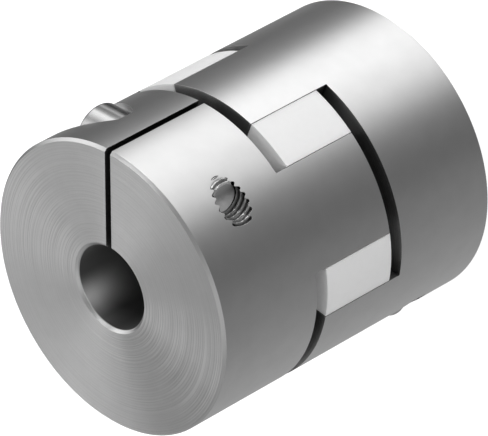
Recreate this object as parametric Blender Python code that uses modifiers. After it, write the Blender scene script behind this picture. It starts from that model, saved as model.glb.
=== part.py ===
"""Zero-backlash jaw coupling with two clamping hubs and an elastomer spider.

The shaft axis is Z and the origin is the centre of the lower end face. The two hubs are
the same part: the lower one is turned over about the X axis. Three jaws on each hub
interlock between the six legs of the spider, and one socket head screw across the slot
of each hub clamps it on its shaft. The screws point along +X.
"""

import math

import bmesh
import bpy
from mathutils import Matrix

MM = 0.001

# Coupling
OUTER_DIAMETER = 42.0 * MM
HUB_LENGTH = 17.0 * MM
SPIDER_WIDTH = 12.0 * MM
END_GAP = 2.0 * MM
JAW_COUNT = 3

# Hub
BORE_DIAMETER = 12.0 * MM
BORE_CHAMFER = 0.45 * MM
RIM_CHAMFER = 0.40 * MM
TIP_CHAMFER = 0.15 * MM
SLOT_WIDTH = 1.0 * MM

# Clamp screw in its hub
SCREW_DEPTH = 5.5 * MM
SCREW_SETBACK = 8.5 * MM
SEAT_DISTANCE = 5.3 * MM
POCKET_DIAMETER = 10.0 * MM
CLEARANCE_HOLE_DIAMETER = 5.5 * MM

# Socket head cap screw
THREAD_DIAMETER = 5.0 * MM
THREAD_PITCH = 0.8 * MM
SCREW_LENGTH = 18.0 * MM
HEAD_DIAMETER = 8.5 * MM
HEAD_HEIGHT = 5.0 * MM
HEAD_EDGE_RADIUS = 0.2 * MM
SOCKET_WIDTH = 4.0 * MM
SOCKET_DEPTH = 2.5 * MM
SCREW_TIP_CHAMFER = 0.25 * MM

# Spider
SPIDER_BORE = 19.2 * MM
RING_DIAMETER = 24.0 * MM
LEG_WIDTH = 7.15 * MM
LEG_ROOT_RADIUS = 1.2 * MM

# Gaps between pieces that touch on the real coupling
FLANK_GAP = 0.2 * MM
SEAT_GAP = 0.2 * MM
THREAD_GAP = 0.3 * MM

# Facets
ROUND_STEPS = 96
SCREW_STEPS = 40
CORNER_STEPS = 5
HEX_SIDES = 6
SMOOTH_ANGLE = math.radians(25)
MERGE_DISTANCE = 0.0001 * MM
CUT_MARGIN = 2.0 * MM

# Worked out from the sizes above
OUTER_RADIUS = OUTER_DIAMETER / 2
RING_RADIUS = RING_DIAMETER / 2
SCREW_OFFSET = OUTER_RADIUS - SCREW_DEPTH
MIDDLE = HUB_LENGTH + END_GAP + SPIDER_WIDTH / 2
ROOT_PLANE = SPIDER_WIDTH / 2 + END_GAP
LEG_COUNT = 2 * JAW_COUNT
LEG_HALF_ANGLE = math.asin(LEG_WIDTH / 2 / OUTER_RADIUS)
SECTOR = 2 * math.pi / LEG_COUNT
PITCH_RADIUS = THREAD_DIAMETER / 2 - 3 / 16 * math.sqrt(3) * THREAD_PITCH


def clear_scene():
    """Removes every object of the open file."""
    for thing in list(bpy.data.objects):
        bpy.data.objects.remove(thing, do_unlink=True)


def new_collection(name):
    """Makes a collection under the scene's own."""
    group = bpy.data.collections.new(name)
    bpy.context.scene.collection.children.link(group)
    return group


def material(name, colour, roughness, metallic):
    """Makes a Principled material."""
    made = bpy.data.materials.new(name)
    made.use_nodes = True
    shader = made.node_tree.nodes["Principled BSDF"]
    shader.inputs["Base Color"].default_value = (*colour, 1.0)
    shader.inputs["Roughness"].default_value = roughness
    shader.inputs["Metallic"].default_value = metallic
    made.diffuse_color = (*colour, 1.0)
    return made


def add_object(name, mesh, group):
    """Puts a mesh in a collection as an object."""
    thing = bpy.data.objects.new(name, mesh)
    group.objects.link(thing)
    return thing


def hide_cutter(thing):
    """Marks an object as a cutter."""
    thing.hide_render = True
    thing.display_type = "WIRE"
    return thing


def bake(thing):
    """Replaces an object's mesh with the result of its modifiers."""
    bpy.context.view_layer.update()
    graph = bpy.context.evaluated_depsgraph_get()
    mesh = bpy.data.meshes.new_from_object(thing.evaluated_get(graph))
    shape = bmesh.new()
    shape.from_mesh(mesh)
    bmesh.ops.remove_doubles(shape, verts=shape.verts, dist=MERGE_DISTANCE)
    bmesh.ops.recalc_face_normals(shape, faces=shape.faces)
    shape.to_mesh(mesh)
    shape.free()
    thing.modifiers.clear()
    thing.data = mesh
    return thing


def turned(name, profile, steps, group, closed=False):
    """Turns a profile of (radius, height) points about Z.

    The profile runs down the outer side. An open one starts and ends on the axis, and a
    closed one makes a ring.
    """
    points = [(radius, 0.0, height) for radius, height in profile]
    edges = [(i, i + 1) for i in range(len(points) - 1)]
    if closed:
        edges.append((len(points) - 1, 0))
    mesh = bpy.data.meshes.new(name)
    mesh.from_pydata(points, edges, [])
    thing = add_object(name, mesh, group)
    screw = thing.modifiers.new("Turn", "SCREW")
    screw.axis = "Z"
    screw.steps = steps
    screw.render_steps = steps
    screw.use_merge_vertices = True
    screw.merge_threshold = MERGE_DISTANCE
    return bake(thing)


def extruded(name, outlines, bottom, top, group):
    """Makes a solid of flat outlines between two heights."""
    curve = bpy.data.curves.new(name, "CURVE")
    curve.dimensions = "2D"
    curve.fill_mode = "BOTH"
    curve.extrude = (top - bottom) / 2
    for outline in outlines:
        spline = curve.splines.new("POLY")
        spline.points.add(len(outline) - 1)
        for point, (x, y) in zip(spline.points, outline):
            point.co = (x, y, 0.0, 1.0)
        spline.use_cyclic_u = True
    flat = add_object(name + "_outline", curve, group)
    flat.location.z = (top + bottom) / 2
    bpy.context.view_layer.update()
    graph = bpy.context.evaluated_depsgraph_get()
    mesh = bpy.data.meshes.new_from_object(flat.evaluated_get(graph))
    shape = bmesh.new()
    shape.from_mesh(mesh)
    bmesh.ops.remove_doubles(shape, verts=shape.verts, dist=MERGE_DISTANCE)
    bmesh.ops.recalc_face_normals(shape, faces=shape.faces)
    bmesh.ops.transform(shape, matrix=flat.matrix_world, verts=shape.verts)
    shape.to_mesh(mesh)
    shape.free()
    thing = add_object(name, mesh, group)
    bpy.data.objects.remove(flat, do_unlink=True)
    return thing


def combine(thing, other, operation):
    """Adds a Boolean of another object to an object."""
    step = thing.modifiers.new(operation.title() + " " + other.name, "BOOLEAN")
    step.operation = operation
    step.solver = "EXACT"
    step.object = other


def finish(thing, surface):
    """Gives a piece its material and smooth shading with sharp edges."""
    thing.data.materials.clear()
    thing.data.materials.append(surface)
    thing.data.shade_smooth()
    thing.data.set_sharp_from_angle(angle=SMOOTH_ANGLE)


def polar(radius, angle):
    """Point in the plane at a radius and an angle."""
    return radius * math.cos(angle), radius * math.sin(angle)


def arc(radius, start, end, steps):
    """Points of an arc round the shaft axis, both ends included."""
    return [polar(radius, start + (end - start) * i / steps) for i in range(steps + 1)]


def arc_steps(angle):
    """Number of facets that a turned surface has over an angle."""
    return max(2, round(abs(angle) / (2 * math.pi) * ROUND_STEPS))


def corner(ring_radius, corner_radius, flank, side, offset):
    """Arc that joins a leg's flank to the ring.

    The flank is the radial line at the angle flank, and side is +1 where the corner lies
    past it. The corner's centre is corner_radius off the flank and the ring. The arc
    itself is nearer to that centre by the offset, so a jaw's corner and the spider's share
    one centre. The points run from the flank to the ring.
    """
    reach = ring_radius + corner_radius
    turn = math.asin(corner_radius / reach)
    centre = polar(reach, flank + side * turn)
    radius = corner_radius - offset
    start = flank - side * math.pi / 2
    end = flank + side * turn + math.pi
    sweep = (end - start + math.pi) % (2 * math.pi) - math.pi
    points = []
    for i in range(CORNER_STEPS + 1):
        x, y = polar(radius, start + sweep * i / CORNER_STEPS)
        points.append((centre[0] + x, centre[1] + y))
    return points


def spider_outline():
    """Outline of the ring with its legs, anticlockwise."""
    points = []
    turn = math.asin(LEG_ROOT_RADIUS / (RING_RADIUS + LEG_ROOT_RADIUS))
    for i in range(LEG_COUNT):
        low = i * SECTOR - LEG_HALF_ANGLE
        high = i * SECTOR + LEG_HALF_ANGLE
        after = high + turn
        before = low + SECTOR - turn
        points += corner(RING_RADIUS, LEG_ROOT_RADIUS, low, -1, 0.0)[::-1]
        points += arc(OUTER_RADIUS, low, high, arc_steps(high - low))
        points += corner(RING_RADIUS, LEG_ROOT_RADIUS, high, 1, 0.0)
        points += arc(RING_RADIUS, after, before, arc_steps(before - after))[1:-1]
    return points


def jaw_outline(middle, reach):
    """Outline of one jaw, anticlockwise, with its back at the radius reach."""
    low_leg = middle - SECTOR / 2 + LEG_HALF_ANGLE
    high_leg = middle + SECTOR / 2 - LEG_HALF_ANGLE
    back_turn = math.asin(FLANK_GAP / reach)
    turn = math.asin(LEG_ROOT_RADIUS / (RING_RADIUS + LEG_ROOT_RADIUS))
    front = RING_RADIUS + FLANK_GAP
    points = arc(reach, low_leg + back_turn, high_leg - back_turn, arc_steps(SECTOR))
    points += corner(RING_RADIUS, LEG_ROOT_RADIUS, high_leg, -1, FLANK_GAP)
    ends = high_leg - turn, low_leg + turn
    points += arc(front, ends[0], ends[1], arc_steps(ends[0] - ends[1]))[1:-1]
    points += corner(RING_RADIUS, LEG_ROOT_RADIUS, low_leg, 1, FLANK_GAP)[::-1]
    return points


def hub_blank(group):
    """The turned outside of a hub over its jaws and body, as a solid."""
    top = MIDDLE
    tip = -SPIDER_WIDTH / 2
    profile = [
        (0.0, top),
        (OUTER_RADIUS - RIM_CHAMFER, top),
        (OUTER_RADIUS, top - RIM_CHAMFER),
        (OUTER_RADIUS, tip + TIP_CHAMFER),
        (OUTER_RADIUS - TIP_CHAMFER, tip),
        (0.0, tip),
    ]
    return turned("hub_blank", profile, ROUND_STEPS, group)


def hub_body(group):
    """The clamping body of a hub with its chamfered bore, wider than the hub."""
    wide = OUTER_RADIUS + CUT_MARGIN
    bore = BORE_DIAMETER / 2
    top = MIDDLE + CUT_MARGIN
    profile = [
        (bore + BORE_CHAMFER, top),
        (wide, top),
        (wide, ROOT_PLANE),
        (bore + BORE_CHAMFER, ROOT_PLANE),
        (bore, ROOT_PLANE + BORE_CHAMFER),
        (bore, MIDDLE - BORE_CHAMFER),
        (bore + BORE_CHAMFER, MIDDLE),
    ]
    return turned("hub_body", profile, ROUND_STEPS, group, closed=True)


def screw_space(group):
    """Cutter for the screw: the head's pocket, the clearance hole and the threaded hole.

    It is turned about Z and then laid along X, with the pocket toward -X.
    """
    reach = OUTER_RADIUS + CUT_MARGIN
    pocket = POCKET_DIAMETER / 2
    clearance = CLEARANCE_HOLE_DIAMETER / 2
    thread = PITCH_RADIUS + THREAD_GAP
    profile = [
        (0.0, reach),
        (pocket, reach),
        (pocket, SEAT_DISTANCE),
        (clearance, SEAT_DISTANCE),
        (clearance, 0.0),
        (thread, 0.0),
        (thread, -reach),
        (0.0, -reach),
    ]
    cutter = turned("screw_space", profile, SCREW_STEPS, group)
    cutter.data.transform(screw_placement())
    return cutter


def screw_placement():
    """Lays a part turned about Z along the screw's axis, with its top toward -X."""
    place = Matrix.Translation((0.0, SCREW_OFFSET, MIDDLE - SCREW_SETBACK))
    return place @ Matrix.Rotation(-math.pi / 2, 4, "Y")


def slot_cutter(group):
    """Cutter for the slot from the bore out through the rim at +Y."""
    reach = OUTER_RADIUS + CUT_MARGIN
    height = MIDDLE + CUT_MARGIN
    mesh = bpy.data.meshes.new("slot_cutter")
    shape = bmesh.new()
    bmesh.ops.create_cube(shape, size=1.0)
    bmesh.ops.scale(shape, vec=(SLOT_WIDTH, reach, height), verts=shape.verts)
    bmesh.ops.translate(shape, vec=(0.0, reach / 2, height / 2), verts=shape.verts)
    shape.to_mesh(mesh)
    shape.free()
    return add_object("slot_cutter", mesh, group)


def make_hub(parts, cutters):
    """Builds one clamping hub about the coupling's middle, with its end face at +Z."""
    hub = hub_body(parts)
    for i in range(JAW_COUNT):
        middle = SECTOR / 2 + 2 * SECTOR * i
        outline = jaw_outline(middle, OUTER_RADIUS + CUT_MARGIN)
        bottom = -SPIDER_WIDTH / 2 - CUT_MARGIN
        jaw = extruded(f"jaw_{i}", [outline], bottom, ROOT_PLANE + CUT_MARGIN, cutters)
        combine(hub, hide_cutter(jaw), "UNION")
    combine(hub, hide_cutter(hub_blank(cutters)), "INTERSECT")
    combine(hub, hide_cutter(screw_space(cutters)), "DIFFERENCE")
    combine(hub, hide_cutter(slot_cutter(cutters)), "DIFFERENCE")
    return bake(hub)


def make_spider(parts):
    """Builds the spider about the coupling's middle."""
    bore = arc(SPIDER_BORE / 2, 0.0, 2 * math.pi, ROUND_STEPS)[:-1]
    half = SPIDER_WIDTH / 2
    return extruded("spider", [spider_outline(), bore], -half, half, parts)


def head_edge():
    """Points of the rounded edge on the head's top, outward and down."""
    radius = HEAD_DIAMETER / 2 - HEAD_EDGE_RADIUS
    height = SEAT_DISTANCE + SEAT_GAP + HEAD_HEIGHT - HEAD_EDGE_RADIUS
    points = []
    for i in range(CORNER_STEPS + 1):
        x, z = polar(HEAD_EDGE_RADIUS, math.pi / 2 * (1 - i / CORNER_STEPS))
        points.append((radius + x, height + z))
    return points


def socket_cutter(group):
    """Cutter for the hexagon socket, sunk into the head's top."""
    top = SEAT_DISTANCE + SEAT_GAP + HEAD_HEIGHT
    corner_radius = SOCKET_WIDTH / 2 / math.cos(math.pi / HEX_SIDES)
    height = SOCKET_DEPTH + CUT_MARGIN
    mesh = bpy.data.meshes.new("socket_cutter")
    shape = bmesh.new()
    bmesh.ops.create_cone(
        shape,
        cap_ends=True,
        segments=HEX_SIDES,
        radius1=corner_radius,
        radius2=corner_radius,
        depth=height,
    )
    middle = top - SOCKET_DEPTH + height / 2
    bmesh.ops.translate(shape, vec=(0.0, 0.0, middle), verts=shape.verts)
    shape.to_mesh(mesh)
    shape.free()
    return add_object("socket_cutter", mesh, group)


def make_screw(parts, cutters):
    """Builds a socket head screw, its plain shank at the thread's pitch diameter."""
    seat = SEAT_DISTANCE + SEAT_GAP
    tip = seat - SCREW_LENGTH
    profile = [
        (0.0, seat + HEAD_HEIGHT),
        *head_edge(),
        (HEAD_DIAMETER / 2, seat),
        (PITCH_RADIUS, seat),
        (PITCH_RADIUS, tip + SCREW_TIP_CHAMFER),
        (PITCH_RADIUS - SCREW_TIP_CHAMFER, tip),
        (0.0, tip),
    ]
    screw = turned("screw", profile, SCREW_STEPS, parts)
    combine(screw, hide_cutter(socket_cutter(cutters)), "DIFFERENCE")
    bake(screw)
    screw.data.transform(screw_placement())
    return screw


def place_pair(first, names, surfaces, group):
    """Places a piece in the upper hub and its twin, turned over, in the lower one."""
    second = add_object(names[1], first.data.copy(), group)
    first.name = names[0]
    for thing, turn, surface in zip((first, second), (0.0, math.pi), surfaces):
        thing.location = (0.0, 0.0, MIDDLE)
        thing.rotation_euler = (turn, 0.0, 0.0)
        finish(thing, surface)


def build():
    """Builds the whole coupling."""
    clear_scene()
    parts = new_collection("jaw_coupling")
    cutters = new_collection("cutters")

    aluminium = (0.87, 0.87, 0.87)
    steel = (0.80, 0.80, 0.80)
    hub_surfaces = [
        material("upper_hub_aluminium", aluminium, 0.32, 1.0),
        material("lower_hub_aluminium", aluminium, 0.32, 1.0),
    ]
    screw_surfaces = [
        material("upper_screw_steel", steel, 0.22, 1.0),
        material("lower_screw_steel", steel, 0.22, 1.0),
    ]
    elastomer = material("spider_elastomer", (0.88, 0.88, 0.88), 0.42, 0.0)

    hub = make_hub(parts, cutters)
    place_pair(hub, ("upper_hub", "lower_hub"), hub_surfaces, parts)

    screw = make_screw(parts, cutters)
    names = ("upper_clamp_screw", "lower_clamp_screw")
    place_pair(screw, names, screw_surfaces, parts)

    spider = make_spider(parts)
    spider.location.z = MIDDLE
    finish(spider, elastomer)


build()
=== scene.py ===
"""Dresses the jaw coupling: turned aluminium hubs with cut threads, a white spider and screws.

Every piece stands for one CAD node and keeps its sizes. Lengths are in metres, the shaft axis
is Z, and the coupling stands on the plane z = 0. Angles in degrees are azimuths from +X.
"""

import math

import bmesh
import bpy
from mathutils import Matrix, Vector


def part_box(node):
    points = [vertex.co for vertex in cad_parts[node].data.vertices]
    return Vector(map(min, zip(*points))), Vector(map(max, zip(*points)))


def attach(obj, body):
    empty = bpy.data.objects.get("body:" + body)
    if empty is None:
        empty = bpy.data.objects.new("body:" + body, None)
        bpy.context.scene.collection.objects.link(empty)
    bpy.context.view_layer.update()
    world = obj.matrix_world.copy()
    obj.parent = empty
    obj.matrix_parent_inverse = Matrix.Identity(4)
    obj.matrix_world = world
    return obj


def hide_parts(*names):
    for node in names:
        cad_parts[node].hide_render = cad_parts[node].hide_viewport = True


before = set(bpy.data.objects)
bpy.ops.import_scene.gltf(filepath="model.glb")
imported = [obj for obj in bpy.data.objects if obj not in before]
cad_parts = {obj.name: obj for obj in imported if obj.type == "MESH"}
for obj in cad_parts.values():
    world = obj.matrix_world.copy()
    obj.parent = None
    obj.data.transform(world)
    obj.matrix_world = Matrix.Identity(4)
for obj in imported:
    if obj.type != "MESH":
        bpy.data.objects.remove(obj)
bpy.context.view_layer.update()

MM = 0.001

# Sizes read from the frame
HUB_LOW, HUB_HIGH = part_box("upper_hub")
SPIDER_LOW, SPIDER_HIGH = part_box("spider")
SCREW_LOW, SCREW_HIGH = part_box("upper_clamp_screw")
OUTER_RADIUS = HUB_HIGH[0]
TOP = HUB_HIGH[2]
JAW_TIP = HUB_LOW[2]
MIDDLE = TOP / 2
SCREW_Y = (SCREW_LOW[1] + SCREW_HIGH[1]) / 2
SCREW_Z = (SCREW_LOW[2] + SCREW_HIGH[2]) / 2
SCREW_TIP = SCREW_HIGH[0]
HEAD_END = SCREW_LOW[0]
HEAD_RADIUS = (SCREW_HIGH[2] - SCREW_LOW[2]) / 2

# Coupling. The legs swell into half of the gap to the jaws on each side
JAW_COUNT = 3
END_GAP = 2.0 * MM
ROOT_PLANE = SPIDER_HIGH[2] + END_GAP
LEG_WIDTH = 7.15 * MM
RING_RADIUS = 12.0 * MM
CORNER_RADIUS = 1.2 * MM
JAW_GAP = 0.2 * MM
LEG_SWELL = 0.1 * MM
SPIDER_BORE_RADIUS = 9.6 * MM
SPIDER_EDGE = 0.18 * MM

# Hub
BORE_RADIUS = 6.0 * MM
BORE_CHAMFER = 0.45 * MM
RIM_CHAMFER = 0.40 * MM
SLOT_WIDTH = 1.0 * MM
EDGE_BREAK = 0.08 * MM

# Screw and its space in the hub. The start turns the thread, in shares of a turn, and the
# thread's flats are shares of its pitch
PITCH = 0.8 * MM
THREAD_MAJOR_RADIUS = 2.5 * MM
THREAD_DEPTH = 0.433 * MM
THREAD_PLAY = 0.03 * MM
THREAD_START = 0.45
ROOT_FLAT = 0.125
CREST_FLAT = 0.25
SEAT = 5.3 * MM
HEAD_EDGE = 0.20 * MM
POCKET_RADIUS = 5.0 * MM
CLEARANCE_RADIUS = 2.75 * MM
SOCKET_WIDTH = 4.0 * MM
SOCKET_DEPTH = 2.5 * MM
TIP_CHAMFER = 0.5 * MM
TIP_DOME = 0.04 * MM

# Fineness
DEGREE_STEPS = 1.0
SCREW_SIDES = 96
RINGS_PER_PITCH = 14
CORNER_STEPS = 8
SMOOTH_ANGLE = math.radians(28)
SHARP_ANGLE = math.radians(60)
WALL_TOLERANCE = 0.005 * MM

# Noise: the span that it and the height of the rings mostly lie in, and the detail of grains
MIDDLE_SPAN = 0.3, 0.7
GRAIN_DETAIL = 3.0

# Turned marks: spacing, unevenness along and round the shaft axis, and heights
FEED = 0.42 * MM
FEED_WANDER = 14.0
WANDER_SCALE = 1.3
FINE_LINE_SCALE = 6.0
ROUND_SCALE = 0.12
FEED_LINES = 0.36, 0.64
FINE_LINES = -0.35, 0.35
RING_RELIEF = 0.030 * MM
LINE_SHARE = 0.03

# Metal: tone across the coupling, mottling, contrast of the rings, painted stronger where they catch the
# light, and painted shade in a dark sector of the end face
METAL_TONE = 0.785, 0.94
BRIGHTEST_TONE = 0.98
DRIFT_X = -0.9
DRIFT_Y = -0.4
MOTTLE = 0.018
MOTTLE_SCALE = 350.0
RING_CATCH = math.radians(343)
CATCH_SPAN = 0.82, 0.98
CATCH_REST = 0.2
RING_CONTRAST = 0.11
DARK_FAN = math.radians(314)
DARK_FAN_WIDTH = math.radians(35)
DARK_FAN_DIP = 0.14

# Metal: finish, glints on its corners, and the fineness of glints and shade
ROUGHNESS = 0.35, 0.39
ROUGHNESS_SPAN = 0.2, 0.8
ANISOTROPY = 0.7
ANISOTROPY_TURN = 0.25
CORNER_GLINT = 0.05 * MM
GLINT_SAMPLES = 6
OPENNESS_SAMPLES = 12

# Shade in the narrow spaces, as shares of the open metal's tone. Each openness is a span that
# the shade changes over
RECESS_REACH = 4 * MM
GAP_OPENNESS = 0.5, 0.92
GAP_TONE = 0.21, 0.33
GAP_SIDE_OPENNESS = 0.45, 0.9
OPEN_SIDE = (-0.93, 0.25, 0.26)
CORNER_REACH = 0.5 * MM
CORNER_OPENNESS = 0.4, 0.92
CORNER_TONE = 0.1
HOLE_EDGE = POCKET_RADIUS + 0.1 * MM, POCKET_RADIUS + 0.3 * MM
SLOT_SIDE = 0.7 * MM, 1.0 * MM
FACING_DOWN = -0.95, -0.85
THREAD_OPENNESS = 0.3, 0.98
THREAD_TONE = 0.45
GROOVE_TONE = 0.04
GROOVE_BAND = [THREAD_MAJOR_RADIUS + step * MM for step in (-0.3, -0.15, 0.1, 0.2)]
GROOVE_SHELL = [OUTER_RADIUS - depth for depth in (THREAD_DEPTH, 0.2 * MM, 0.03 * MM, 0.01 * MM)]
THREAD_CLEAR = THREAD_MAJOR_RADIUS + 0.2 * MM, THREAD_MAJOR_RADIUS + 0.4 * MM

# Bore: painted dark shade, paler on one side, with a painted sheen near its mouth, where the metal is
# also made satin
BORE_SKIN = 0.1 * MM
BORE_DARK = 0.15, 0.30
BORE_PALER_SIDE = math.radians(165)
BORE_PALER_SPAN = -0.3, 1.0
BORE_LIT = 0.93
BORE_LIT_SIDE = math.radians(219)
BORE_LIT_WIDTH = math.radians(34)
BORE_LIT_DEPTH = 10.0 * MM
BORE_LIT_MOUTH = 1.5 * MM
BORE_METALLIC = 0.45
BORE_ROUGHNESS = 0.6

# Screw steel: the open metal, painted shade in its corners and on the edge of the head's end, and the
# tip's end, which is rougher, and on its lower half duller and painted paler
STEEL_TONE = 0.85, 0.89
STEEL_ROUGHNESS = 0.14, 0.22
STEEL_GRAIN_SCALE = 900.0
STEEL_GLINT_SAMPLES = 4
STEEL_CORNER_REACH = 0.6 * MM
STEEL_CORNER_OPENNESS = 0.35, 0.92
STEEL_CORNER_TONE = 0.08
HEAD_RIM = HEAD_END + 0.18 * MM, HEAD_END + 0.30 * MM
HEAD_RIM_HEIGHT = SCREW_Z + 2.2 * MM, SCREW_Z + 4.0 * MM
HEAD_RIM_SHADE = 0.12, 0.65
TIP_SKIN = 0.02 * MM
TIP_LOWER_SIDE = SCREW_Y - 1.5 * MM, SCREW_Y + 1.0 * MM
TIP_PAINTED_LIGHT = 0.06
TIP_ROUGHER = 0.25
TIP_METALLIC = 0.35

# Elastomer
ELASTOMER_TONE = 0.915, 0.93
ELASTOMER_ROUGHNESS = 0.42
ELASTOMER_SUBSURFACE = 0.6
ELASTOMER_SCATTER = 0.9 * MM
ELASTOMER_GRAIN_SCALE = 1400.0
ELASTOMER_GRAIN_STRENGTH = 0.15
ELASTOMER_GRAIN_DEPTH = 0.01 * MM

# Floor
FLOOR_HALF_WIDTH = 2.0
FLOOR_GAP = 0.05 * MM
FLOOR_TONE = 0.9
FLOOR_ROUGHNESS = 0.9
FLOOR_GLOW = 0.75

# Studio surround: brightness by the azimuth that a reflection runs in
SURROUND = [
    (-125, 0.42),
    (-80, 0.36),
    (-40, 0.225),
    (10, 0.10),
    (38, 0.19),
    (54, 0.33),
    (72, 1.03),
    (100, 1.05),
    (128, 1.50),
    (144, 0.25),
    (160, 0.0),
    (178, 0.05),
    (205, 0.21),
    (230, 0.42),
]
# It gives way to the overhead between two heights of the direction's unit vector
OVERHEAD = 0.23
OVERHEAD_START = -0.25
OVERHEAD_FULL = 0.35
# Soft lights and one dark flag: azimuth, elevation and half width in degrees, brightness
SOFTBOXES = [
    (171, 64, 22, 1.70),
    (264, 47, 22, 0.76),
    (152, 22, 23, 1.10),
    (174, 11, 16, 0.80),
    (-15, 45, 38, 0.29),
    (136, -27, 14, -0.70),
]
# Lamps: distance of the large ones from the coupling's middle, and place of the small one from it
LAMP_DISTANCE = 0.9
END_LAMP_PLACE = Vector((-0.150, -0.085, 0.115))

# Camera, fitted to points read off the photograph
CAMERA_AZIMUTH = 42.02
CAMERA_ELEVATION = 37.02
CAMERA_ROLL = math.radians(-118.50)
CAMERA_DISTANCE = 781.6 * MM
CAMERA_LENS = 436.0
CAMERA_SENSOR = 36.0
CAMERA_CLIP = 0.01, 10.0
CAMERA_AIM = Vector((0.079, -0.314, 25.201)) * MM

# Sizes that follow from those above
CUTTER_REACH = OUTER_RADIUS + 2 * MM
THREAD_CUT_END = CUTTER_REACH - 3 * MM
TIP_FLAT = SCREW_TIP - TIP_DOME
TIP_FLAT_RADIUS = THREAD_MAJOR_RADIUS - TIP_CHAMFER
LEG_HALF_ANGLE = math.asin(LEG_WIDTH / 2 / OUTER_RADIUS)
SECTOR = math.pi / JAW_COUNT


def polar(radius, angle, height):
    """Point at a radius, an angle and a height."""
    return Vector((radius * math.cos(angle), radius * math.sin(angle), height))


def evenly(start, end, step_degrees=DEGREE_STEPS):
    """Angles from start to end in steps of about a number of degrees."""
    count = max(1, round(math.degrees(end - start) / step_degrees))
    return [start + (end - start) * i / count for i in range(count + 1)]


def closed_mesh(name, points, faces):
    """Makes a mesh from points and faces, with its faces pointing out."""
    made = bpy.data.meshes.new(name)
    made.from_pydata(points, [], faces)
    shape = bmesh.new()
    shape.from_mesh(made)
    bmesh.ops.recalc_face_normals(shape, faces=shape.faces)
    shape.to_mesh(made)
    shape.free()
    return made


class Skin:
    """Gathers faces by their corners' places, and joins equal corners."""

    def __init__(self):
        self.corners = []
        self.places = {}
        self.faces = []

    def corner(self, point):
        """Number of the vertex at a point."""
        key = tuple(round(value / (0.001 * MM)) for value in point)
        if key not in self.places:
            self.places[key] = len(self.corners)
            self.corners.append(tuple(point))
        return self.places[key]

    def face(self, *points):
        """Adds a face, without the corners that coincide."""
        loop = []
        for point in points:
            number = self.corner(point)
            if number not in loop:
                loop.append(number)
        if len(loop) > 2:
            self.faces.append(loop)

    def mesh(self, name):
        """Makes the mesh."""
        return closed_mesh(name, self.corners, self.faces)


def new_object(name, mesh):
    """Links a mesh to the scene as an object."""
    thing = bpy.data.objects.new(name, mesh)
    bpy.context.scene.collection.objects.link(thing)
    return thing


def apply_modifiers(thing):
    """Replaces an object's mesh with the result of its modifiers."""
    bpy.context.view_layer.update()
    graph = bpy.context.evaluated_depsgraph_get()
    made = bpy.data.meshes.new_from_object(thing.evaluated_get(graph))
    thing.modifiers.clear()
    thing.data = made


def break_edges(thing, width, segments):
    """Rounds the sharp edges of a piece."""
    step = thing.modifiers.new("Edges", "BEVEL")
    step.limit_method = "ANGLE"
    step.angle_limit = SHARP_ANGLE
    step.width = width
    step.segments = segments
    apply_modifiers(thing)


def cut(thing, cutter):
    """Cuts an object with another, and removes the cutter."""
    step = thing.modifiers.new("Cut", "BOOLEAN")
    step.operation = "DIFFERENCE"
    step.solver = "EXACT"
    step.object = cutter
    apply_modifiers(thing)
    bpy.data.objects.remove(cutter, do_unlink=True)


def corner_arc(flank, side, offset):
    """Radii and angles of the arc between a leg's flank and the ring.

    Both the spider's corner and a jaw's are round one centre. The offset brings the arc
    nearer to it, and the points run from the flank to the ring.
    """
    reach = RING_RADIUS + CORNER_RADIUS
    turn = math.asin(CORNER_RADIUS / reach)
    centre = polar(reach, flank + side * turn, 0.0)
    radius = CORNER_RADIUS - offset
    start = flank - side * math.pi / 2
    end = flank + side * turn + math.pi
    sweep = (end - start + math.pi) % (2 * math.pi) - math.pi
    points = []
    for i in range(CORNER_STEPS + 1):
        point = centre + polar(radius, start + sweep * i / CORNER_STEPS, 0.0)
        angle = math.atan2(point.y, point.x)
        angle += 2 * math.pi * round((flank - angle) / (2 * math.pi))
        points.append((point.xy.length, angle))
    return points


def jaw_front(middle):
    """Radii and angles of a jaw's inner side, from one flank to the other."""
    half = SECTOR / 2 - LEG_HALF_ANGLE - JAW_GAP / OUTER_RADIUS
    low_leg = middle - SECTOR / 2 + LEG_HALF_ANGLE
    high_leg = middle + SECTOR / 2 - LEG_HALF_ANGLE
    low = [p for p in corner_arc(low_leg, 1, JAW_GAP) if p[1] > middle - half]
    high = [p for p in corner_arc(high_leg, -1, JAW_GAP) if p[1] < middle + half]
    front = RING_RADIUS + JAW_GAP
    between = [(front, angle) for angle in evenly(low[-1][1], high[-1][1])[1:-1]]
    flanks = (low[0][0], middle - half), (high[0][0], middle + half)
    return [flanks[0], *low, *between, *high[::-1], flanks[1]]


def add_body_wall(skin, low, high, bottom):
    """Adds the rim, the end face and the bore of the hub between two angles."""
    section = [
        (OUTER_RADIUS, bottom),
        (OUTER_RADIUS, TOP - RIM_CHAMFER),
        (OUTER_RADIUS - RIM_CHAMFER, TOP),
        (BORE_RADIUS + BORE_CHAMFER, TOP),
        (BORE_RADIUS, TOP - BORE_CHAMFER),
        (BORE_RADIUS, ROOT_PLANE + BORE_CHAMFER),
        (BORE_RADIUS + BORE_CHAMFER, ROOT_PLANE),
    ]
    for (r0, z0), (r1, z1) in zip(section, section[1:]):
        corners = polar(r0, low, z0), polar(r0, high, z0)
        skin.face(*corners, polar(r1, high, z1), polar(r1, low, z1))


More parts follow.
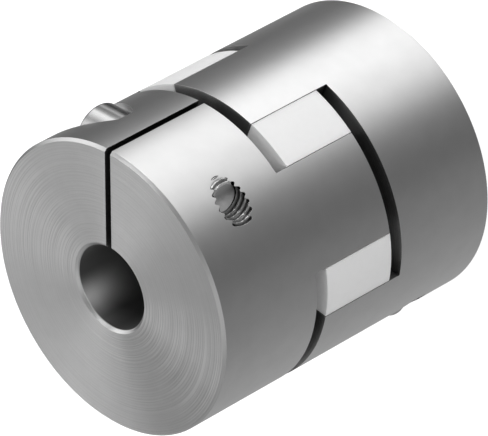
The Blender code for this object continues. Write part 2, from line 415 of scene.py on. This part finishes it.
def add_jaw(skin, front):
    """Adds one jaw and the hub's body behind it."""
    inner = BORE_RADIUS + BORE_CHAMFER
    for (r0, a0), (r1, a1) in zip(front, front[1:]):
        add_body_wall(skin, a0, a1, JAW_TIP)
        tip = polar(r0, a0, JAW_TIP), polar(r1, a1, JAW_TIP)
        root = polar(r0, a0, ROOT_PLANE), polar(r1, a1, ROOT_PLANE)
        skin.face(*tip, polar(OUTER_RADIUS, a1, JAW_TIP), polar(OUTER_RADIUS, a0, JAW_TIP))
        skin.face(*tip, root[1], root[0])
        skin.face(*root, polar(inner, a1, ROOT_PLANE), polar(inner, a0, ROOT_PLANE))
    for radius, angle in (front[0], front[-1]):
        tip = polar(radius, angle, JAW_TIP), polar(OUTER_RADIUS, angle, JAW_TIP)
        root = polar(OUTER_RADIUS, angle, ROOT_PLANE), polar(radius, angle, ROOT_PLANE)
        skin.face(*tip, *root)


def add_window(skin, start, end):
    """Adds the hub's body in the space between two jaws.

    Start and end are the radius and the angle of the nearest points on those jaws.
    """
    inner = BORE_RADIUS + BORE_CHAMFER
    angles = evenly(start[1], end[1])
    for low, high in zip(angles, angles[1:]):
        add_body_wall(skin, low, high, ROOT_PLANE)
        base = [polar(inner, low, ROOT_PLANE), polar(inner, high, ROOT_PLANE)]
        if high == angles[-1]:
            base.append(polar(end[0], high, ROOT_PLANE))
        base.append(polar(OUTER_RADIUS, high, ROOT_PLANE))
        base.append(polar(OUTER_RADIUS, low, ROOT_PLANE))
        if low == angles[0]:
            base.append(polar(start[0], low, ROOT_PLANE))
        skin.face(*base)


def thread_radius(x, angle, play):
    """Radius of the screw thread at a place along its axis and an angle round it."""
    phase = (x / PITCH - angle / (2 * math.pi) + THREAD_START) % 1.0
    slope = (abs(2 * phase - 1) - ROOT_FLAT) / (1 - ROOT_FLAT - CREST_FLAT)
    height = min(1.0, max(0.0, slope))
    return THREAD_MAJOR_RADIUS + play - THREAD_DEPTH * (1 - height)


def ring_stack(name, rings):
    """Closed body round the X axis through the screw, from rings of (x, radius function)."""
    angles = [2 * math.pi * i / SCREW_SIDES for i in range(SCREW_SIDES)]
    points = []
    for x, radius in rings:
        for angle in angles:
            r = radius(x, angle)
            points.append((x, SCREW_Y + r * math.cos(angle), SCREW_Z + r * math.sin(angle)))
    faces = []
    for k in range(len(rings) - 1):
        for i in range(SCREW_SIDES):
            j = (i + 1) % SCREW_SIDES
            low, high = k * SCREW_SIDES, (k + 1) * SCREW_SIDES
            faces.append((low + i, low + j, high + j, high + i))
    faces.append(list(range(SCREW_SIDES)))
    faces.append(list(range((len(rings) - 1) * SCREW_SIDES, len(rings) * SCREW_SIDES)))
    return new_object(name, closed_mesh(name, points, faces))


def plain(radius):
    """Radius function of a cylinder."""
    return lambda x, angle: radius


def thread_rings(start, end, radius):
    """Rings of a thread between two places."""
    count = round((end - start) / PITCH * RINGS_PER_PITCH)
    return [(start + (end - start) * i / count, radius) for i in range(count + 1)]


def screw_space():
    """Cutter for the pocket, the clearance hole and the threaded hole."""
    rings = [
        (-CUTTER_REACH, plain(POCKET_RADIUS)),
        (-SEAT, plain(POCKET_RADIUS)),
        (-SEAT, plain(CLEARANCE_RADIUS)),
        (0.0, plain(CLEARANCE_RADIUS)),
    ]
    threaded = thread_rings(0.0, THREAD_CUT_END, lambda x, a: thread_radius(x, a, THREAD_PLAY))
    return ring_stack("screw_space", rings + threaded)


def slot_cutter():
    """Cutter for the clamping slot."""
    made = bpy.data.meshes.new("slot_cutter")
    shape = bmesh.new()
    bmesh.ops.create_cube(shape, size=1.0)
    bmesh.ops.scale(shape, vec=(SLOT_WIDTH, CUTTER_REACH, TOP), verts=shape.verts)
    bmesh.ops.translate(shape, vec=(0.0, CUTTER_REACH / 2, TOP), verts=shape.verts)
    shape.to_mesh(made)
    shape.free()
    return new_object("slot_cutter", made)


def smooth_shading(thing):
    """Shades a piece smooth, with flat faces kept flat and sharp edges kept sharp."""
    thing.data.shade_smooth()
    thing.data.set_sharp_from_angle(angle=SMOOTH_ANGLE)
    step = thing.modifiers.new("Normals", "WEIGHTED_NORMAL")
    step.keep_sharp = True
    apply_modifiers(thing)


def round_shading(thing):
    """Shades a hub's outer wall as a true cylinder, also round the holes in it."""
    smooth_shading(thing)
    made = thing.data
    normals = [Vector(corner.vector) for corner in made.corner_normals]
    outside = [vertex.co.xy.length > OUTER_RADIUS - WALL_TOLERANCE for vertex in made.vertices]
    for face in made.polygons:
        if all(outside[index] for index in face.vertices):
            for index in face.loop_indices:
                place = made.vertices[made.loops[index].vertex_index].co
                normals[index] = Vector((place.x, place.y, 0.0)).normalized()
    made.normals_split_custom_set(normals)


def make_hub():
    """Builds the upper hub with its jaws, slot, pocket and thread."""
    fronts = [jaw_front(SECTOR / 2 + 2 * SECTOR * i) for i in range(JAW_COUNT)]
    skin = Skin()
    for i, front in enumerate(fronts):
        add_jaw(skin, front)
        following = fronts[(i + 1) % JAW_COUNT][0]
        turn = 2 * math.pi if i == JAW_COUNT - 1 else 0.0
        add_window(skin, front[-1], (following[0], following[1] + turn))
    hub = new_object("upper_hub_turned", skin.mesh("upper_hub_turned"))
    break_edges(hub, EDGE_BREAK, segments=2)
    cut(hub, screw_space())
    cut(hub, slot_cutter())
    round_shading(hub)
    return hub


def spider_outline():
    """Radii and angles of the spider's outside."""
    swell = LEG_SWELL / OUTER_RADIUS
    points = []
    for i in range(2 * JAW_COUNT):
        low = i * SECTOR - LEG_HALF_ANGLE - swell
        high = i * SECTOR + LEG_HALF_ANGLE + swell
        points += corner_arc(low, -1, 0.0)[::-1]
        points += [(OUTER_RADIUS, angle) for angle in evenly(low, high)]
        points += corner_arc(high, 1, 0.0)
        gap = corner_arc(high, 1, 0.0)[-1][1], corner_arc(low + SECTOR, -1, 0.0)[-1][1]
        points += [(RING_RADIUS, angle) for angle in evenly(*gap)[1:-1]]
    return points


def make_spider():
    """Builds the spider, moulded with rounded edges."""
    skin = Skin()
    outline = spider_outline()
    low, high = SPIDER_LOW[2], SPIDER_HIGH[2]
    for i, (r0, a0) in enumerate(outline):
        r1, a1 = outline[(i + 1) % len(outline)]
        bore = SPIDER_BORE_RADIUS
        for start, end in ((r0, r1), (bore, bore)):
            lower = polar(start, a0, low), polar(end, a1, low)
            skin.face(*lower, polar(end, a1, high), polar(start, a0, high))
        for z in (low, high):
            skin.face(polar(r0, a0, z), polar(r1, a1, z), polar(bore, a1, z), polar(bore, a0, z))
    spider = new_object("spider_moulded", skin.mesh("spider_moulded"))
    break_edges(spider, SPIDER_EDGE, segments=3)
    smooth_shading(spider)
    return spider


def head_radius(x, angle):
    """Radius of the screw's head, with its outer edge rounded."""
    inward = max(0.0, 1 - (x - HEAD_END) / HEAD_EDGE)
    return HEAD_RADIUS - HEAD_EDGE * (1 - math.sqrt(1 - inward ** 2))


def shank_radius(x, angle):
    """Radius of the screw's thread, cut down to a cone at the tip."""
    cone = TIP_FLAT_RADIUS + SCREW_TIP - TIP_DOME - x
    return min(thread_radius(x, angle, -THREAD_PLAY), cone)


def socket_cutter():
    """Cutter for the hexagon socket."""
    made = bpy.data.meshes.new("socket_cutter")
    shape = bmesh.new()
    width = SOCKET_WIDTH / 2 / math.cos(math.pi / 6)
    bmesh.ops.create_cone(
        shape,
        cap_ends=True,
        segments=6,
        radius1=width,
        radius2=width,
        depth=2 * SOCKET_DEPTH,
        matrix=Matrix.Rotation(math.pi / 2, 4, "Y"),
    )
    bmesh.ops.translate(shape, vec=(HEAD_END, SCREW_Y, SCREW_Z), verts=shape.verts)
    shape.to_mesh(made)
    shape.free()
    return new_object("socket_cutter", made)


def make_screw():
    """Builds the upper socket head screw with its thread."""
    turns = [math.pi / 2 * i / CORNER_STEPS for i in range(CORNER_STEPS + 1)]
    under = -SEAT - THREAD_PLAY
    rings = [(HEAD_END + HEAD_EDGE * (1 - math.cos(turn)), head_radius) for turn in turns]
    rings.append((under, head_radius))
    rings += thread_rings(under, TIP_FLAT, shank_radius)
    for i in range(1, CORNER_STEPS):
        share = 1 - i / CORNER_STEPS
        rings.append((SCREW_TIP - TIP_DOME * share ** 2, plain(TIP_FLAT_RADIUS * share)))
    screw = ring_stack("upper_screw_threaded", rings)
    cut(screw, socket_cutter())
    smooth_shading(screw)
    return screw


def twin(thing, name):
    """Copies a piece of the upper hub, turned over about X, for the lower one."""
    copy = new_object(name, thing.data.copy())
    place = Matrix.Translation((0.0, 0.0, MIDDLE))
    copy.matrix_world = place @ Matrix.Rotation(math.pi, 4, "X") @ place.inverted()
    return copy


class Nodes:
    """Short calls for building a node tree. A value is a number or another node's output."""

    def __init__(self, tree):
        self.tree = tree

    def add(self, kind, **settings):
        """Adds a node and sets its properties."""
        node = self.tree.nodes.new(kind)
        for key, value in settings.items():
            setattr(node, key, value)
        return node

    def link(self, start, end):
        """Links an output to an input."""
        self.tree.links.new(start, end)

    def feed(self, socket, value):
        """Gives an input its value."""
        if isinstance(value, bpy.types.NodeSocket):
            self.link(value, socket)
        else:
            socket.default_value = value

    def math(self, operation, *values):
        """Works a sum out of values."""
        node = self.add("ShaderNodeMath", operation=operation)
        for socket, value in zip(node.inputs, values):
            self.feed(socket, value)
        return node.outputs[0]

    def product(self, first, *others):
        """Multiplies values."""
        for other in others:
            first = self.math("MULTIPLY", first, other)
        return first

    def distance(self, x, y):
        """Length of the vector with two components."""
        return self.math("SQRT", self.math("ADD", self.product(x, x), self.product(y, y)))

    def range(self, value, low, high, start, end, smooth=False):
        """Maps a value from low..high to start..end."""
        kind = "SMOOTHSTEP" if smooth else "LINEAR"
        node = self.add("ShaderNodeMapRange", interpolation_type=kind)
        for name, number in (("From Min", low), ("From Max", high), ("To Min", start), ("To Max", end)):
            node.inputs[name].default_value = number
        self.link(value, node.inputs["Value"])
        return node.outputs[0]

    def band(self, value, rise_start, rise_end, fall_start, fall_end):
        """Gives 1 inside a band of values and 0 outside, with soft edges."""
        rise = self.range(value, rise_start, rise_end, 0.0, 1.0)
        return self.product(rise, self.range(value, fall_start, fall_end, 1.0, 0.0))

    def mix(self, low, high, share):
        """Mixes two values."""
        node = self.add("ShaderNodeMix", data_type="FLOAT")
        for name, value in (("A", low), ("B", high), ("Factor", share)):
            self.feed(node.inputs[name], value)
        return node.outputs[0]

    def grey(self, value):
        """Turns a value into a grey colour."""
        node = self.add("ShaderNodeCombineColor")
        for socket in node.inputs:
            self.link(value, socket)
        return node.outputs[0]

    def combine(self, *values):
        """Makes a vector of three values."""
        node = self.add("ShaderNodeCombineXYZ")
        for socket, value in zip(node.inputs, values):
            self.feed(socket, value)
        return node.outputs[0]

    def split(self, vector):
        """Gives the three components of a vector."""
        node = self.add("ShaderNodeSeparateXYZ")
        self.link(vector, node.inputs[0])
        return node.outputs

    def noise(self, place, scale, detail):
        """Noise from 0 to 1, mostly near a half."""
        node = self.add("ShaderNodeTexNoise")
        node.inputs["Scale"].default_value = scale
        node.inputs["Detail"].default_value = detail
        self.link(place, node.inputs["Vector"])
        return node.outputs["Fac"]

    def toward(self, x, y, azimuth):
        """How far a place lies along an azimuth."""
        along = self.math("MULTIPLY", y, math.sin(azimuth))
        return self.math("ADD", self.math("MULTIPLY", x, math.cos(azimuth)), along)

    def openness(self, reach, direction=None):
        """Share of the half space over the surface, or round a direction, that is open within a reach."""
        node = self.add("ShaderNodeAmbientOcclusion", samples=OPENNESS_SAMPLES)
        node.inputs["Distance"].default_value = reach
        if direction:
            self.link(self.combine(*direction), node.inputs["Normal"])
        return node.outputs["AO"]


def new_material(name):
    """Makes a material and gives its nodes and its Principled shader."""
    made = bpy.data.materials.new(name)
    made.use_nodes = True
    return made, Nodes(made.node_tree), made.node_tree.nodes["Principled BSDF"]


def turning_marks(nodes, along, turn):
    """Fine lines across a direction, uneven in place and in depth, that run round the shaft axis."""
    place = nodes.combine(
        nodes.math("MULTIPLY", along, 1 / MM),
        nodes.math("MULTIPLY", nodes.math("SINE", turn), ROUND_SCALE),
        nodes.math("MULTIPLY", nodes.math("COSINE", turn), ROUND_SCALE),
    )
    wander = nodes.math("MULTIPLY", nodes.noise(place, WANDER_SCALE, 1.0), FEED_WANDER)
    wave = nodes.math("ADD", nodes.math("MULTIPLY", along, 2 * math.pi / FEED), wander)
    feed_lines = nodes.range(nodes.math("SINE", wave), -1.0, 1.0, *FEED_LINES)
    fine_lines = nodes.range(nodes.noise(place, FINE_LINE_SCALE, 1.0), 0.0, 1.0, *FINE_LINES)
    return nodes.math("ADD", feed_lines, fine_lines)


# Painted shade: the tone of one sector of the end face is lowered.
def dark_fan(nodes, x, y, z):
    """Drop of the tone in one sector of the end face, which is darker in the photograph."""
    aligned = nodes.math("DIVIDE", nodes.toward(x, y, DARK_FAN), nodes.distance(x, y))
    sector = nodes.range(aligned, math.cos(DARK_FAN_WIDTH), 1.0, 0.0, DARK_FAN_DIP, smooth=True)
    return nodes.product(sector, nodes.range(z, TOP - RIM_CHAMFER, TOP, 0.0, 1.0))


def open_tone(nodes, place, turn, rings):
    """Tone of the open metal: a soft drift, faint mottling, and the rings where they catch the light."""
    x, y, z = nodes.split(place)
    across = nodes.math("ADD", nodes.product(x, DRIFT_X), nodes.product(y, DRIFT_Y))
    drift = nodes.range(across, -OUTER_RADIUS, OUTER_RADIUS, *METAL_TONE)
    drift = nodes.math("SUBTRACT", drift, dark_fan(nodes, x, y, z))
    mottle = nodes.noise(place, MOTTLE_SCALE, GRAIN_DETAIL)
    mottle = nodes.range(mottle, *MIDDLE_SPAN, -MOTTLE, MOTTLE)
    # Painted light: the rings' contrast is stronger along the azimuth where they catch the light.
    catch = nodes.math("ABSOLUTE", nodes.math("COSINE", nodes.math("SUBTRACT", turn, RING_CATCH)))
    catch = nodes.range(catch, *CATCH_SPAN, CATCH_REST, 1.0, smooth=True)
    lines = nodes.product(catch, nodes.range(rings, *MIDDLE_SPAN, -RING_CONTRAST, RING_CONTRAST))
    tone = nodes.math("ADD", nodes.math("ADD", drift, mottle), lines)
    return nodes.math("MINIMUM", tone, BRIGHTEST_TONE)


def gap_shade(nodes):
    """Shade in the gaps between the jaws and the spider, which are paler on the side that faces out."""
    lit = nodes.range(nodes.openness(RECESS_REACH, OPEN_SIDE), *GAP_SIDE_OPENNESS, *GAP_TONE)
    return nodes.mix(lit, 1.0, nodes.range(nodes.openness(RECESS_REACH), *GAP_OPENNESS, 0.0, 1.0))


def thread_shade(nodes, radius, off_screw):
    """Shade in the screw's hole and pocket, with the ends of the thread's grooves nearly black."""
    ends = nodes.product(nodes.band(off_screw, *GROOVE_BAND), nodes.band(radius, *GROOVE_SHELL))
    inside = nodes.range(nodes.openness(RECESS_REACH), *THREAD_OPENNESS, THREAD_TONE, 1.0)
    return nodes.mix(inside, GROOVE_TONE, ends)


def bore_sheen(nodes, x, y, z, radius):
    """Share of the soft sheen near the bore's mouth on one side, which is painted into the tone and also
    made satin.
    """
    lit_side = nodes.math("DIVIDE", nodes.toward(x, y, BORE_LIT_SIDE), radius)
    side = nodes.range(nodes.math("ARCCOSINE", lit_side), 0.0, BORE_LIT_WIDTH, 1.0, 0.0, smooth=True)
    mouth = nodes.range(z, TOP - BORE_LIT_DEPTH, TOP - BORE_LIT_MOUTH, 0.0, 1.0, smooth=True)
    return nodes.product(side, mouth)


def bore_shade(nodes, x, y, z, radius):
    """Shade in the bore: dark, apart from the sheen."""
    paler_side = nodes.math("DIVIDE", nodes.toward(x, y, BORE_PALER_SIDE), radius)
    dark = nodes.range(paler_side, *BORE_PALER_SPAN, *BORE_DARK)
    return nodes.mix(dark, BORE_LIT, bore_sheen(nodes, x, y, z, radius))


def recess_shade(nodes, place, radius, off_screw, in_bore):
    """Share of the open tone that is left in the gaps, the screw's hole, the bore and the corners."""
    x, y, z = nodes.split(place)
    bored = nodes.range(off_screw, *HOLE_EDGE, 1.0, 0.0)
    off_slot = nodes.range(nodes.math("ABSOLUTE", x), *SLOT_SIDE, 0.0, 1.0)
    in_hole = nodes.product(bored, off_slot)
    shade = nodes.mix(gap_shade(nodes), thread_shade(nodes, radius, off_screw), in_hole)
    up = nodes.split(nodes.add("ShaderNodeNewGeometry").outputs["Normal"])[2]
    shade = nodes.mix(shade, 1.0, nodes.range(up, *FACING_DOWN, 1.0, 0.0))
    shade = nodes.mix(shade, bore_shade(nodes, x, y, z, radius), in_bore)
    corners = nodes.range(nodes.openness(CORNER_REACH), *CORNER_OPENNESS, CORNER_TONE, 1.0)
    return nodes.product(shade, corners)


def turned_aluminium(name):
    """Fine turned aluminium: rings round the shaft axis on the end faces and the walls."""
    made, nodes, shader = new_material(name)
    place = nodes.add("ShaderNodeTexCoord").outputs["Object"]
    x, y, z = nodes.split(place)
    radius = nodes.distance(x, y)
    turn = nodes.math("ARCTAN2", y, x)
    off_screw = nodes.distance(nodes.math("SUBTRACT", y, SCREW_Y), nodes.math("SUBTRACT", z, SCREW_Z))
    in_bore = nodes.range(radius, BORE_RADIUS, BORE_RADIUS + BORE_SKIN, 1.0, 0.0)
    rings = turning_marks(nodes, radius, turn)
    lines = turning_marks(nodes, z, turn)
    shade = recess_shade(nodes, place, radius, off_screw, in_bore)
    tone = nodes.product(open_tone(nodes, place, turn, rings), shade)
    roughness = nodes.range(rings, *ROUGHNESS_SPAN, *ROUGHNESS)
    roughness = nodes.mix(roughness, BORE_ROUGHNESS, in_bore)
    nodes.link(nodes.grey(tone), shader.inputs["Base Color"])
    nodes.link(roughness, shader.inputs["Roughness"])

    tangent = nodes.add("ShaderNodeTangent", direction_type="RADIAL", axis="Z")
    nodes.link(tangent.outputs[0], shader.inputs["Tangent"])
    shader.inputs["Anisotropic"].default_value = ANISOTROPY
    shader.inputs["Anisotropic Rotation"].default_value = ANISOTROPY_TURN
    satin = nodes.product(in_bore, bore_sheen(nodes, x, y, z, radius))
    nodes.link(nodes.range(satin, 0.0, 1.0, 1.0, BORE_METALLIC), shader.inputs["Metallic"])

    edges = nodes.add("ShaderNodeBevel", samples=GLINT_SAMPLES)
    in_thread = nodes.range(off_screw, *THREAD_CLEAR, 1.0, 0.0)
    nodes.link(nodes.mix(CORNER_GLINT, THREAD_PLAY, in_thread), edges.inputs["Radius"])
    bump = nodes.add("ShaderNodeBump")
    bump.inputs["Strength"].default_value = 1.0
    bump.inputs["Distance"].default_value = RING_RELIEF
    marks = nodes.math("ADD", rings, nodes.product(lines, LINE_SHARE))
    nodes.link(marks, bump.inputs["Height"])
    nodes.link(edges.outputs[0], bump.inputs["Normal"])
    nodes.link(bump.outputs[0], shader.inputs["Normal"])
    return made


def bright_steel(name):
    """Smooth bright screw steel with a faint grain.

    It has painted shade round the head's end and in its corners, is rougher on the tip's end, and
    is duller and painted paler on the lower half of that.
    """
    made, nodes, shader = new_material(name)
    place = nodes.add("ShaderNodeTexCoord").outputs["Object"]
    x, y, z = nodes.split(place)
    grain = nodes.noise(place, STEEL_GRAIN_SCALE, GRAIN_DETAIL)
    on_tip = nodes.range(x, TIP_FLAT - TIP_SKIN, TIP_FLAT, 0.0, 1.0)
    # Painted light: the lower half of the tip's end is made paler, and also duller in its metal.
    dull_and_painted_light = nodes.product(on_tip, nodes.range(y, *TIP_LOWER_SIDE, 1.0, 0.0, smooth=True))
    # Painted shade on the edge of the head's end, darker lower down.
    on_rim = nodes.range(x, *HEAD_RIM, 1.0, 0.0)
    rim_shade = nodes.range(z, *HEAD_RIM_HEIGHT, *HEAD_RIM_SHADE)
    # Painted shade in the screw's corners.
    corners = nodes.openness(STEEL_CORNER_REACH)
    corners = nodes.range(corners, *STEEL_CORNER_OPENNESS, STEEL_CORNER_TONE, 1.0)
    tone = nodes.range(grain, *MIDDLE_SPAN, *STEEL_TONE)
    tone = nodes.math("ADD", tone, nodes.product(dull_and_painted_light, TIP_PAINTED_LIGHT))
    tone = nodes.product(tone, nodes.mix(1.0, rim_shade, on_rim), corners)
    roughness = nodes.range(grain, 0.0, 1.0, *STEEL_ROUGHNESS)
    roughness = nodes.math("ADD", roughness, nodes.product(on_tip, TIP_ROUGHER))
    nodes.link(nodes.grey(tone), shader.inputs["Base Color"])
    nodes.link(roughness, shader.inputs["Roughness"])
    nodes.link(nodes.range(dull_and_painted_light, 0.0, 1.0, 1.0, TIP_METALLIC), shader.inputs["Metallic"])
    edges = nodes.add("ShaderNodeBevel", samples=STEEL_GLINT_SAMPLES)
    edges.inputs["Radius"].default_value = EDGE_BREAK
    nodes.link(edges.outputs[0], shader.inputs["Normal"])
    return made


def white_elastomer(name):
    """Satin white moulded elastomer, slightly translucent."""
    made, nodes, shader = new_material(name)
    place = nodes.add("ShaderNodeTexCoord").outputs["Object"]
    grain = nodes.noise(place, ELASTOMER_GRAIN_SCALE, GRAIN_DETAIL)
    tone = nodes.range(grain, *MIDDLE_SPAN, *ELASTOMER_TONE)
    nodes.link(nodes.grey(tone), shader.inputs["Base Color"])
    shader.inputs["Roughness"].default_value = ELASTOMER_ROUGHNESS
    shader.inputs["Subsurface Weight"].default_value = ELASTOMER_SUBSURFACE
    shader.inputs["Subsurface Radius"].default_value = (1.0, 1.0, 1.0)
    shader.inputs["Subsurface Scale"].default_value = ELASTOMER_SCATTER
    bump = nodes.add("ShaderNodeBump")
    bump.inputs["Strength"].default_value = ELASTOMER_GRAIN_STRENGTH
    bump.inputs["Distance"].default_value = ELASTOMER_GRAIN_DEPTH
    nodes.link(grain, bump.inputs["Height"])
    nodes.link(bump.outputs[0], shader.inputs["Normal"])
    return made


def dress(thing, node, surface):
    """Hands a piece its material and its body, and hides the CAD node that it stands for."""
    thing.data.materials.clear()
    thing.data.materials.append(surface)
    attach(thing, "root")
    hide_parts(node)


def compass(azimuth, elevation):
    """Direction at an azimuth and an elevation in degrees."""
    level = math.cos(math.radians(elevation))
    across = math.cos(math.radians(azimuth)) * level, math.sin(math.radians(azimuth)) * level
    return Vector((*across, math.sin(math.radians(elevation))))


def surround_ramp(nodes, turn):
    """Brightness of the studio's surround at an azimuth."""
    share = nodes.math("FRACT", nodes.math("ADD", nodes.math("DIVIDE", turn, 2 * math.pi), 1.0))
    ramp = nodes.add("ShaderNodeValToRGB")
    ramp.color_ramp.interpolation = "B_SPLINE"
    stops = sorted(((degrees % 360) / 360, value) for degrees, value in SURROUND)
    middle = (stops[0][1] + stops[-1][1]) / 2
    elements = ramp.color_ramp.elements
    while len(elements) < len(stops) + 2:
        elements.new(0.5)
    for element, (place, value) in zip(elements, [(0.0, middle), *stops, (1.0, middle)]):
        element.position = place
        element.color = (value, value, value, 1.0)
    nodes.link(share, ramp.inputs[0])
    return ramp.outputs["Color"]


def make_world():
    """Lights the studio: a surround under a plain overhead, with soft lights, and white to the camera."""
    world = bpy.data.worlds.new("studio")
    bpy.context.scene.world = world
    world.use_nodes = True
    nodes = Nodes(world.node_tree)
    direction = nodes.add("ShaderNodeTexCoord").outputs["Generated"]
    x, y, z = nodes.split(direction)
    height = nodes.range(z, OVERHEAD_START, OVERHEAD_FULL, 0.0, 1.0, smooth=True)
    light = nodes.mix(surround_ramp(nodes, nodes.math("ARCTAN2", y, x)), OVERHEAD, height)
    for azimuth, elevation, half_width, strength in SOFTBOXES:
        toward = nodes.add("ShaderNodeVectorMath", operation="DOT_PRODUCT")
        nodes.link(direction, toward.inputs[0])
        toward.inputs[1].default_value = compass(azimuth, elevation)
        edge = math.cos(math.radians(half_width))
        spot = nodes.range(toward.outputs["Value"], edge, 1.0, 0.0, strength, smooth=True)
        light = nodes.math("ADD", light, spot)
    seen = nodes.add("ShaderNodeLightPath").outputs["Is Camera Ray"]
    light = nodes.mix(nodes.math("MAXIMUM", light, 0.0), 1.0, seen)
    nodes.link(nodes.grey(light), world.node_tree.nodes["Background"].inputs["Color"])


def make_floor():
    """Pale floor just under the coupling, which is white to the camera and clear from below.

    It takes the coupling's faint shadow. The metal doesn't reflect it: in the photograph the
    walls mirror the studio's dark and bright panels there.
    """
    made = bpy.data.meshes.new("floor")
    shape = bmesh.new()
    bmesh.ops.create_grid(shape, x_segments=1, y_segments=1, size=FLOOR_HALF_WIDTH)
    shape.to_mesh(made)
    shape.free()
    floor = new_object("floor", made)
    surface, nodes, shader = new_material("floor_white")
    shader.inputs["Base Color"].default_value = (FLOOR_TONE, FLOOR_TONE, FLOOR_TONE, 1.0)
    shader.inputs["Roughness"].default_value = FLOOR_ROUGHNESS
    shader.inputs["Emission Color"].default_value = (1.0, 1.0, 1.0, 1.0)
    seen = nodes.add("ShaderNodeLightPath").outputs["Is Camera Ray"]
    nodes.link(nodes.math("MULTIPLY", seen, FLOOR_GLOW), shader.inputs["Emission Strength"])
    below = nodes.add("ShaderNodeMixShader")
    nodes.link(nodes.add("ShaderNodeNewGeometry").outputs["Backfacing"], below.inputs[0])
    nodes.link(shader.outputs[0], below.inputs[1])
    nodes.link(nodes.add("ShaderNodeBsdfTransparent").outputs[0], below.inputs[2])
    nodes.link(below.outputs[0], surface.node_tree.nodes["Material Output"].inputs["Surface"])
    floor.data.materials.append(surface)
    floor.location.z = -FLOOR_GAP
    floor.visible_glossy = False
    floor.visible_shadow = False


def make_camera():
    """Sets the camera at the photograph's angle, rolled so that the shaft axis lies as it does there."""
    camera = bpy.data.cameras.new("camera")
    camera.lens = CAMERA_LENS
    camera.sensor_width = CAMERA_SENSOR
    camera.clip_start, camera.clip_end = CAMERA_CLIP
    thing = bpy.data.objects.new("camera", camera)
    bpy.context.scene.collection.objects.link(thing)
    back = compass(CAMERA_AZIMUTH, CAMERA_ELEVATION)
    look = (-back).to_track_quat("-Z", "Y").to_matrix().to_4x4()
    roll = Matrix.Rotation(CAMERA_ROLL, 4, "Z")
    thing.matrix_world = Matrix.Translation(CAMERA_AIM + back * CAMERA_DISTANCE) @ look @ roll
    bpy.context.scene.camera = thing


def add_softbox(name, away, size, power, mirrored=True):
    """Adds an area lamp some way off the coupling's middle and aimed at it.

    A lamp that isn't mirrored lights the white elastomer and the satin patch in the bore, and
    leaves no highlight on the metal.
    """
    lamp = bpy.data.lights.new(name, "AREA")
    lamp.size = size
    lamp.energy = power
    thing = bpy.data.objects.new(name, lamp)
    bpy.context.scene.collection.objects.link(thing)
    thing.location = Vector((0.0, 0.0, MIDDLE)) + away
    thing.rotation_euler = (-away).to_track_quat("-Z", "Y").to_euler()
    thing.visible_glossy = mirrored


def add_lamps():
    """Adds the soft lamps."""
    key = compass(100, 8) * LAMP_DISTANCE
    legs = compass(112, 50) * LAMP_DISTANCE
    front = compass(20, 24) * LAMP_DISTANCE
    add_softbox("key_softbox", key, size=0.5, power=2.3)
    add_softbox("leg_softbox", legs, size=0.8, power=1.3, mirrored=False)
    add_softbox("front_softbox", front, size=0.4, power=1.6, mirrored=False)
    add_softbox("end_softbox", END_LAMP_PLACE, size=0.1, power=0.006)


def dress_all():
    """Builds and dresses every piece."""
    hub = make_hub()
    screw = make_screw()
    dress(twin(hub, "lower_hub_turned"), "lower_hub", turned_aluminium("lower_hub_aluminium"))
    dress(twin(screw, "lower_screw_threaded"), "lower_clamp_screw", bright_steel("lower_screw_steel"))
    dress(hub, "upper_hub", turned_aluminium("upper_hub_aluminium"))
    dress(screw, "upper_clamp_screw", bright_steel("upper_screw_steel"))
    dress(make_spider(), "spider", white_elastomer("spider_elastomer"))


dress_all()
make_floor()
make_world()
add_lamps()
make_camera()
bpy.context.scene.view_settings.view_transform = "Standard"
